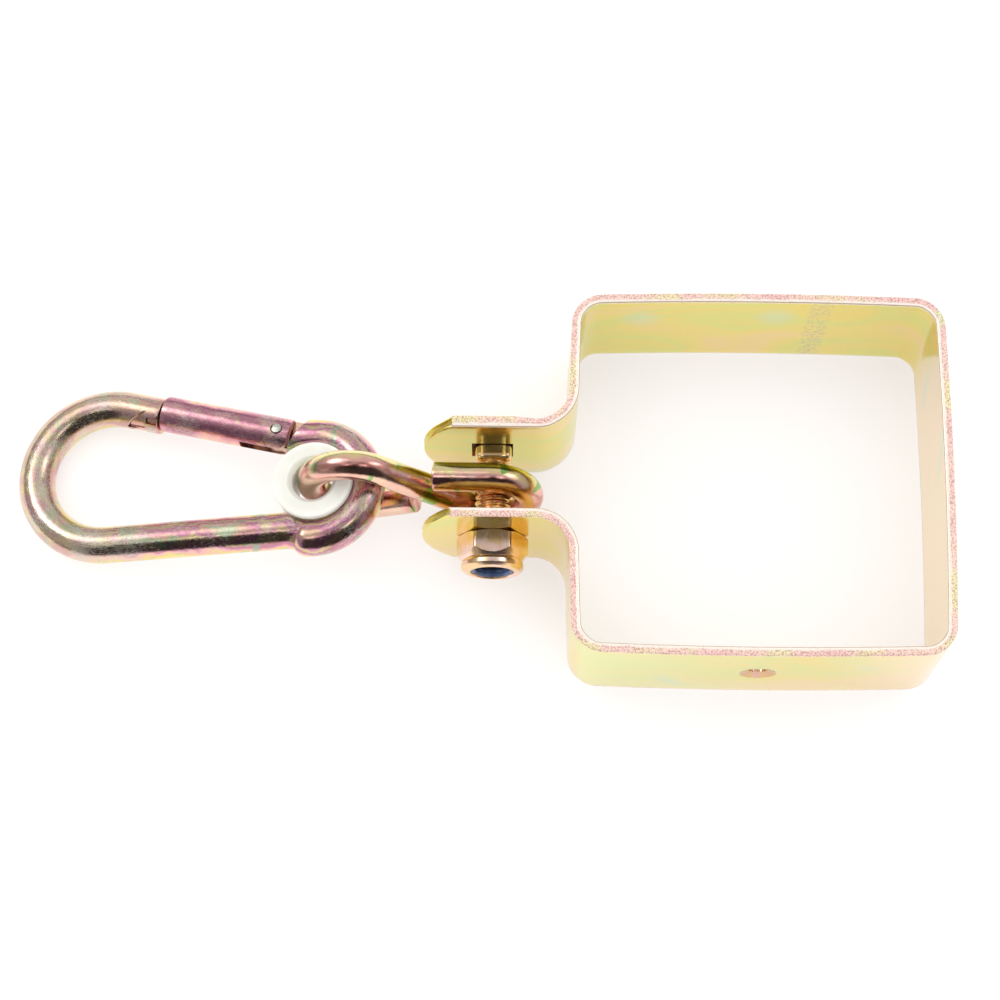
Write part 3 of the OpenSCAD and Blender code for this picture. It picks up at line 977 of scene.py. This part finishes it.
def make_nut():
    rings = []
    bore = BOLT_D / 2 + 0.05
    corner = NUT_AF / 2 / cos(pi / 6)
    # (height, largest radius) of the bearing face and the hexagon with both chamfers
    rows = [(0, NUT_AF / 2 - 0.3), (0.02, NUT_AF / 2 - 0.1)]
    rows += [(0.1 * k, NUT_AF / 2 + 0.17 * k) for k in range(1, 10)]
    rows += [(1 + 0.35 * k, corner + 1) for k in range(11)]
    rows += [(4.7 + 0.1 * k, corner - 0.08 * k) for k in range(22)]
    for z, limit in rows:
        rings.append(polar_ring(lambda a, m=limit: min(m, hex_radius(a, NUT_AF)), z,
                                NUT_SIDES))
    # collar rolled over the insert, its pocket and the bore
    collar = COLLAR_D / 2
    outline = rounded([(collar - 0.32, 6.95), (collar - 0.2, 7.2), (collar, 7.8),
                       (collar, 9.0), (collar - 0.9, 9.8), (collar - 2, NUT_H),
                       (MOUTH_D / 2 + 0.2, NUT_H), (MOUTH_D / 2, NUT_H - 0.5),
                       (INSERT_D / 2 - 0.3, NUT_HEX_H + INSERT_H),
                       (INSERT_D / 2, NUT_HEX_H + INSERT_H - 0.1),
                       (INSERT_D / 2, NUT_HEX_H), (bore, NUT_HEX_H), (bore, 0.3),
                       (bore + 0.3, 0)], 0.45)
    rings += [circle(r, z, NUT_SIDES) for r, z in outline]
    obj = loft("nut", rings, NUT @ Matrix.Rotation(radians(180), 4, "Z"), closed=True)
    finish_piece(obj, "nut_lock", "clamp", "lock_nut", NUT_ZINC, sharp=30)


def make_insert():
    low, high = NUT_HEX_H + 0.02, NUT_HEX_H + INSERT_H - 0.05
    r_in, r_out = INSERT_HOLE / 2, INSERT_D / 2 - 0.02
    tip = BOLT_LEN - STRIP_T * 2 - EAR_UP_Y - EAR_LOW_Y
    profile = [(BOLT_D / 2 + 0.03, low), (BOLT_D / 2 + 0.03, tip), (r_in, tip + 0.25),
               (r_in, high - 0.5), (r_in + 0.5, high), (r_out, high), (r_out, low)]
    obj = lathe("insert", ring_profile(profile, 0.12), NUT, closed=True)
    finish_piece(obj, "nut_insert_ring", "clamp", "nut_insert", BLUE)


make_bolt()
make_nut()
make_insert()

# -------- link and bushing


def unit(angle):
    return Vector((cos(radians(angle)), sin(radians(angle))))


def make_link():
    """Closed S: the bolt's eye, the straight run between the eyes, and the far eye."""
    cross = degrees(asin((BOLT_EYE_R + FAR_EYE_R) / EYE_GAP))
    near_top = BOLT_EYE_R * unit(90 + NEAR_DROOP)
    near_len = (near_top.x + NEAR_REACH) / cos(radians(NEAR_DROOP))
    far_len = (FAR_REACH - FAR_EYE_R * unit(270 + FAR_LIFT).x) / cos(radians(FAR_LIFT))
    back = unit(180 + NEAR_DROOP)
    near_tip = near_top + near_len * back
    # the path stops short of both tips, where the end rings take over
    inset = 1.0
    path = turtle(near_tip - inset * back, NEAR_DROOP, [
        ("line", near_len - inset), ("arc", BOLT_EYE_R, -180 - NEAR_DROOP - cross),
        ("line", EYE_GAP * cos(radians(cross))), ("arc", FAR_EYE_R, 180 + cross + FAR_LIFT),
        ("line", far_len - inset)])
    x, y, heading = path[-1]
    ahead = unit(heading)
    far_tip = Vector((x, y)) + inset * ahead
    obj = rod("link", path, LINK_R, LINK, start=(near_tip, back), end=(far_tip, ahead),
              roll=0.45, dish=0.12)
    finish_piece(obj, "link_rod", "link", "s_link", LINK_ZINC, sharp=50)


def make_bushing():
    """Spool with a round groove for the hook's small bow."""
    half, flange, hole = BUSHING_H / 2, FLANGE_D / 2, BUSHING_HOLE / 2
    groove_r = HOOK_R + 0.25
    groove_x = SMALL_BOW_R - BOW_PLAY
    lip = sqrt(groove_r ** 2 - (groove_x - flange) ** 2)
    profile = [(hole, -half + RIM), (hole + RIM, -half), (flange - 0.9, -half),
               (flange - 0.25, -half + 0.2), (flange, -half + 0.7), (flange, -lip - 0.12)]
    first = degrees(atan2(-lip, flange - groove_x))
    last = -360 - first
    for k in range(17):
        a = radians(first + (last - first) * k / 16)
        profile.append((groove_x + groove_r * cos(a), groove_r * sin(a)))
    profile += [(flange, lip + 0.12), (flange, half - 0.7), (flange - 0.25, half - 0.2),
                (flange - 0.9, half), (hole + RIM, half), (hole, half - RIM)]
    obj = lathe("bushing", ring_profile(profile, 0.35, 3), BUSHING, sides=128, closed=True)
    finish_piece(obj, "bushing_spool", "bushing", "bushing", MILKY, sharp=40)


make_link()
make_bushing()

# -------- snap hook

SLOPE = radians(LEG_SLOPE)
LEG_START = (-BOW_GAP + BIG_BOW_R * sin(SLOPE), BIG_BOW_R * cos(SLOPE))


def leg_y(x):
    return LEG_START[1] - (x - LEG_START[0]) * tan(SLOPE)


HINGE = (HINGE_X, leg_y(HINGE_X) + HINGE_OUT)
NECK_ANGLE = degrees(acos(NECK_X / SMALL_BOW_R))
GATE_LEN = (HINGE_X - SPLIT_X) / cos(SLOPE)


def plane_through(point, angle, distance=0):
    """Plane (point, normal) at a distance along a direction from a point."""
    normal = (cos(radians(angle)), sin(radians(angle)))
    return (point[0] + distance * normal[0], point[1] + distance * normal[1]), normal


def make_hook():
    """One sweep for spine, large bow and nose; the small bow grows out of the spine's
    end with a lip; a flat tongue carries the rivet."""
    spine = (SPINE_X, -leg_y(SPINE_X))
    leg_len = (SPINE_X - LEG_START[0]) / cos(SLOPE)
    nose_len = (SPLIT_X - LEG_START[0]) / cos(SLOPE) - NOSE_SHORT
    path = turtle(spine, LEG_SLOPE - 180, [
        ("line", leg_len), ("arc", BIG_BOW_R, -180 - 2 * LEG_SLOPE), ("line", nose_len)])
    split = plane_through((SPLIT_X, leg_y(SPLIT_X)), -SPLIT_SLANT, -SPLIT_GAP)
    spine_end = plane_through(spine, SPINE_SLANT)
    # the first points are left out, so that the slanting end doesn't fold the skin
    body = rod("body", path[SPINE_SKIP:], HOOK_R, HOOK, start=spine_end, end=split, roll=0.8,
               end_roll=0.3)
    # the bow starts in a dome that stands proud of the spine
    shoulder = plane_through(HINGE, 180 - SHOULDER_SLANT, -SHOULDER_GAP)
    fine = STEP / 2
    foot = radians(NECK_TURN)
    bow_path = turtle((SMALL_BOW_R * cos(foot), -SMALL_BOW_R * sin(foot)), 90 - NECK_TURN,
                      [("arc", SMALL_BOW_R, NECK_TURN + NECK_ANGLE - BOW_SHORT)], fine)
    sections = []
    for i, p in enumerate(bow_path):
        rise = NECK_ROLL - min(NECK_ROLL, i * fine)
        sections.append(rod_ring(*p, HOOK_R - NECK_ROLL + sqrt(NECK_ROLL ** 2 - rise ** 2)))
    sections += end_rings(*bow_path[-1], HOOK_R, shoulder, 0.35, 1)
    bow = loft("bow", sections, HOOK)
    # forged flank between the spine's end and the bow
    flank = rod("flank", turtle(FLANK_START, FLANK_SLANT, [("line", FLANK_LEN)]), FLANK_R, HOOK)
    tongue = arc_points(*HINGE, TONGUE_R, 90, 270)
    tongue += [(HINGE[0] + TONGUE_REACH, HINGE[1] - TONGUE_R - 0.6),
               (HINGE[0] + TONGUE_REACH, HINGE[1] + TONGUE_R - 1)]
    plate = prism(tongue, -TONGUE_T / 2, TONGUE_T / 2, HOOK)
    combine(body, [bow, flank, plate], "UNION")
    # shallow stamped ramp and groove behind the nose, above and below
    at = HOOK @ Matrix.Translation((NOTCH_X, leg_y(NOTCH_X), 0))
    at = at @ Matrix.Rotation(-SLOPE, 4, "Z")
    cutters = []
    for low, high in ((NOTCH_WEB, 9), (-9, -NOTCH_WEB)):
        for outline in (RAMP, GROOVE):
            cutter = prism(outline, low, high, at)
            core = lathe("core", [(NOTCH_CORE_R, -12), (NOTCH_CORE_R, 9)], at @ Z_TO_X, cut=1)
            cutters.append(combine(cutter, [core]))
    combine(body, cutters)
    finish_piece(body, "hook_frame", "hook", "hook_body", HOOK_ZINC, sharp=30)


def make_gate():
    """Slotted rod; its cutters reach past it on every side."""
    far, wide = 12, 9
    tail = plane_through((0, 0), 180, TAIL_LEN)
    nose = plane_through((GATE_LEN, 0), LEG_SLOPE - SPLIT_SLANT)
    path = turtle((2, 0), 0, [("line", GATE_LEN - 4)])
    gate = rod("gate", path, HOOK_R, GATE, start=tail, end=nose, roll=0.35)
    # inner corner of the tail follows the hinge's circle
    corner = arc_points(0, 0, TAIL_ROUND, 90, 180) + [(-far, 0), (-far, far), (0, far)]
    slot = [(-far, -wide), (SLOT_LEN, -wide), (SLOT_LEN, wide), (-far, wide)]
    bore = lathe("cutter", [(SPRING_BORE / 2, -far), (SPRING_BORE / 2, SPRING_BORE_LEN)],
                 GATE @ Z_TO_X)
    hole_r = RIVET_D / 2 + 0.12
    hole = lathe("cutter", [(hole_r + 0.4, -HOOK_R - 0.2), (hole_r, -HOOK_R + 0.2),
                            (hole_r, HOOK_R - 0.2), (hole_r + 0.4, HOOK_R + 0.2)], GATE)
    combine(gate, [prism(corner, -wide, wide, GATE),
                   prism(slot, -SLOT_W / 2, SLOT_W / 2, GATE), bore, hole])
    finish_piece(gate, "gate_bar", "gate", "gate", GATE_ZINC, sharp=30)


def make_rivet():
    r, half = RIVET_D / 2, RIVET_LEN / 2
    head = [(0.02, half + 0.06), (r * 0.5, half + 0.04), (r * 0.85, half - 0.03),
            (r, half - 0.22)]
    profile = head + [(r, 0)] + [(a, -b) for a, b in head[::-1]]
    rivet = lathe("rivet", profile, GATE, sides=64, wobble=0.05)
    finish_piece(rivet, "gate_rivet_pin", "hook", "gate_rivet", STEEL)


PLUNGER_X = TONGUE_R + 0.3


def make_plunger():
    r, stem = PLUNGER_D / 2, PLUNGER_STEM_D / 2
    end = PLUNGER_HEAD + PLUNGER_STEM
    profile = rounded([(0.02, 0), (r, 0), (r, PLUNGER_HEAD), (stem, PLUNGER_HEAD),
                       (stem, end), (0.02, end)], 0.35)
    at = GATE @ Matrix.Translation((PLUNGER_X, 0, 0)) @ Z_TO_X
    plunger = lathe("plunger", profile, at, sides=64)
    finish_piece(plunger, "gate_plunger_pin", "plunger", "gate_plunger", STEEL)


def make_spring():
    """Coil at its length for the open gate, so that no pose runs it into the plunger."""
    first = PLUNGER_X + PLUNGER_HEAD + PLUNGER_ROOM
    coil = (SPRING_D - SPRING_WIRE) / 2
    wire = SPRING_WIRE / 2
    turn = 32
    steps = SPRING_TURNS * turn
    sections = []
    for i in range(steps + 1):
        a = 2 * pi * i / turn
        middle = Vector((first + SPRING_LEN * i / steps, coil * cos(a), coil * sin(a)))
        out = Vector((0, cos(a), sin(a)))
        sections.append([middle + out * wire * cos(b) + Vector((1, 0, 0)) * wire * sin(b)
                         for b in angles(12)])
    spring = loft("spring", sections, GATE)
    finish_piece(spring, "gate_spring_coil", "gate", "gate_spring", STEEL)


make_hook()
make_gate()
make_rivet()
make_plunger()
make_spring()

# -------- studio

# In metres and degrees from here on.
FLOOR_Z = cad_box[0].z - 0.0001
FLOOR_HALF = 6.0

# Lights as seen in reflections: (direction, inner and outer angle, strength).
LARGE_LIGHTS = (((-0.62, 0.30, 0.72), 7, 12, 3.4),
                ((0.60, 0.28, 0.75), 5, 10, 2.6),
                ((0.05, 0.95, 0.45), 20, 60, 0.25))
SMALL_LIGHTS = (((-0.30, -0.24, 0.92), 3, 6, 2.6),
                ((0.24, -0.20, 0.95), 4, 7, 2.6))
DARK_SIDE = ((0.1, -0.80, 0.62), 34, 50, 1.0)
DARKEST = 0.93
STUDIO_LEVEL = 0.46
ROOM_LEVEL = 1.5

CAMERA_EYE = (-0.0686, -0.2105, 0.680)
CAMERA_PITCH = 73.01
CAMERA_YAW = -0.138
CAMERA_ROLL = 0.509
LENS_MM = 94.35
SENSOR_MM = 36.0


def make_floor():
    mesh = bpy.data.meshes.new("floor")
    corners = [(-1, -1), (1, -1), (1, 1), (-1, 1)]
    mesh.from_pydata([(x * FLOOR_HALF, y * FLOOR_HALF, FLOOR_Z) for x, y in corners], [],
                     [(0, 1, 2, 3)])
    material, nodes, shader = new_material("floor_white")
    nodes.put(shader, {"Base Color": (0.44, 0.43, 0.425, 1), "Roughness": 0.7,
                       "Specular IOR Level": 0.1,
                       "Emission Color": (1.0, 0.965, 0.95, 1), "Emission Strength": 0.57})
    mesh.materials.append(material)
    linked("floor", mesh)


def lobe(nodes, direction, aim, inner, outer, value):
    """Soft disc of light round a direction, in degrees from its centre."""
    dot = nodes.vector("DOT_PRODUCT", direction, Vector(aim).normalized()[:])
    return nodes.remap(dot, cos(radians(outer)), cos(radians(inner)), 0.0, value)


def make_world():
    """White room for the eye and the floor; for reflections, a studio of soft lights with
    a dark side."""
    world = bpy.data.worlds.new("studio")
    bpy.context.scene.world = world
    world.use_nodes = True
    nodes = Nodes(world.node_tree)
    direction = nodes.coordinates("Generated")
    split = nodes.parts(direction)
    total = STUDIO_LEVEL
    for light in LARGE_LIGHTS:
        total = nodes.plus(lobe(nodes, direction, *light), total)
    dark = lobe(nodes, direction, *DARK_SIDE)
    horizon = nodes.remap(nodes.math("ABSOLUTE", split[2]), 0.05, 0.22, 0.75, 0.0)
    dark = nodes.math("MAXIMUM", dark, horizon)
    keep = nodes.scaled(dark, -DARKEST, 1.0)
    total = nodes.times(total, keep)
    # narrow strip light behind the zenith, met by level edges
    strip = nodes.between(split[1], (0.15, 0.22), (0.43, 0.37))
    strip = nodes.times(strip, nodes.remap(split[2], 0.5, 0.7, 0.0, 0.12))
    total = nodes.plus(strip, total)
    for light in SMALL_LIGHTS:
        total = nodes.plus(lobe(nodes, direction, *light), total)
    studio = nodes.add("Background")
    nodes.put(studio, {"Color": (1.0, 0.99, 0.975, 1), "Strength": total})
    room = nodes.add("Background")
    nodes.put(room, {"Color": (1, 1, 1, 1), "Strength": ROOM_LEVEL})
    rays = nodes.add("LightPath")
    mix = nodes.add("MixShader")
    nodes.wire(rays.outputs["Is Glossy Ray"], mix.inputs[0])
    nodes.wire(room.outputs[0], mix.inputs[1])
    nodes.wire(studio.outputs[0], mix.inputs[2])
    output = nodes.add("OutputWorld")
    nodes.wire(mix.outputs[0], output.inputs[0])


def softbox(name, place_m, aim_m, size, power):
    data = bpy.data.lights.new(name, "AREA")
    data.shape, data.size, data.energy = "SQUARE", size, power
    lamp = linked(name, data)
    lamp.location = place_m
    lamp.rotation_mode = "QUATERNION"
    lamp.rotation_quaternion = (Vector(aim_m) - Vector(place_m)).to_track_quat("-Z", "Y")


def make_camera():
    """Camera that looks down by its pitch, turned by its yaw from +Y, and rolled."""
    pitch, yaw, roll = (radians(a) for a in (CAMERA_PITCH, CAMERA_YAW, CAMERA_ROLL))
    ahead = Vector((sin(yaw) * cos(pitch), cos(yaw) * cos(pitch), -sin(pitch)))
    right = Vector((cos(yaw), -sin(yaw), 0))
    up = right.cross(ahead)
    x = cos(roll) * right + sin(roll) * up
    y = -sin(roll) * right + cos(roll) * up
    data = bpy.data.cameras.new("camera")
    data.sensor_width = SENSOR_MM
    data.lens = LENS_MM
    data.clip_start, data.clip_end = 0.01, 50
    camera = linked("camera", data)
    turned = Matrix((x, y, -ahead)).transposed().to_4x4()
    camera.matrix_world = Matrix.Translation(CAMERA_EYE) @ turned
    bpy.context.scene.camera = camera


make_floor()
make_world()
softbox("light_left", (-0.75, 0.35, 0.95), (-0.05, 0, 0), 0.7, 1.2)
softbox("light_right", (0.75, 0.25, 0.95), (-0.05, 0, 0), 0.7, 0.8)
make_camera()

bpy.context.scene.view_settings.view_transform = "Standard"
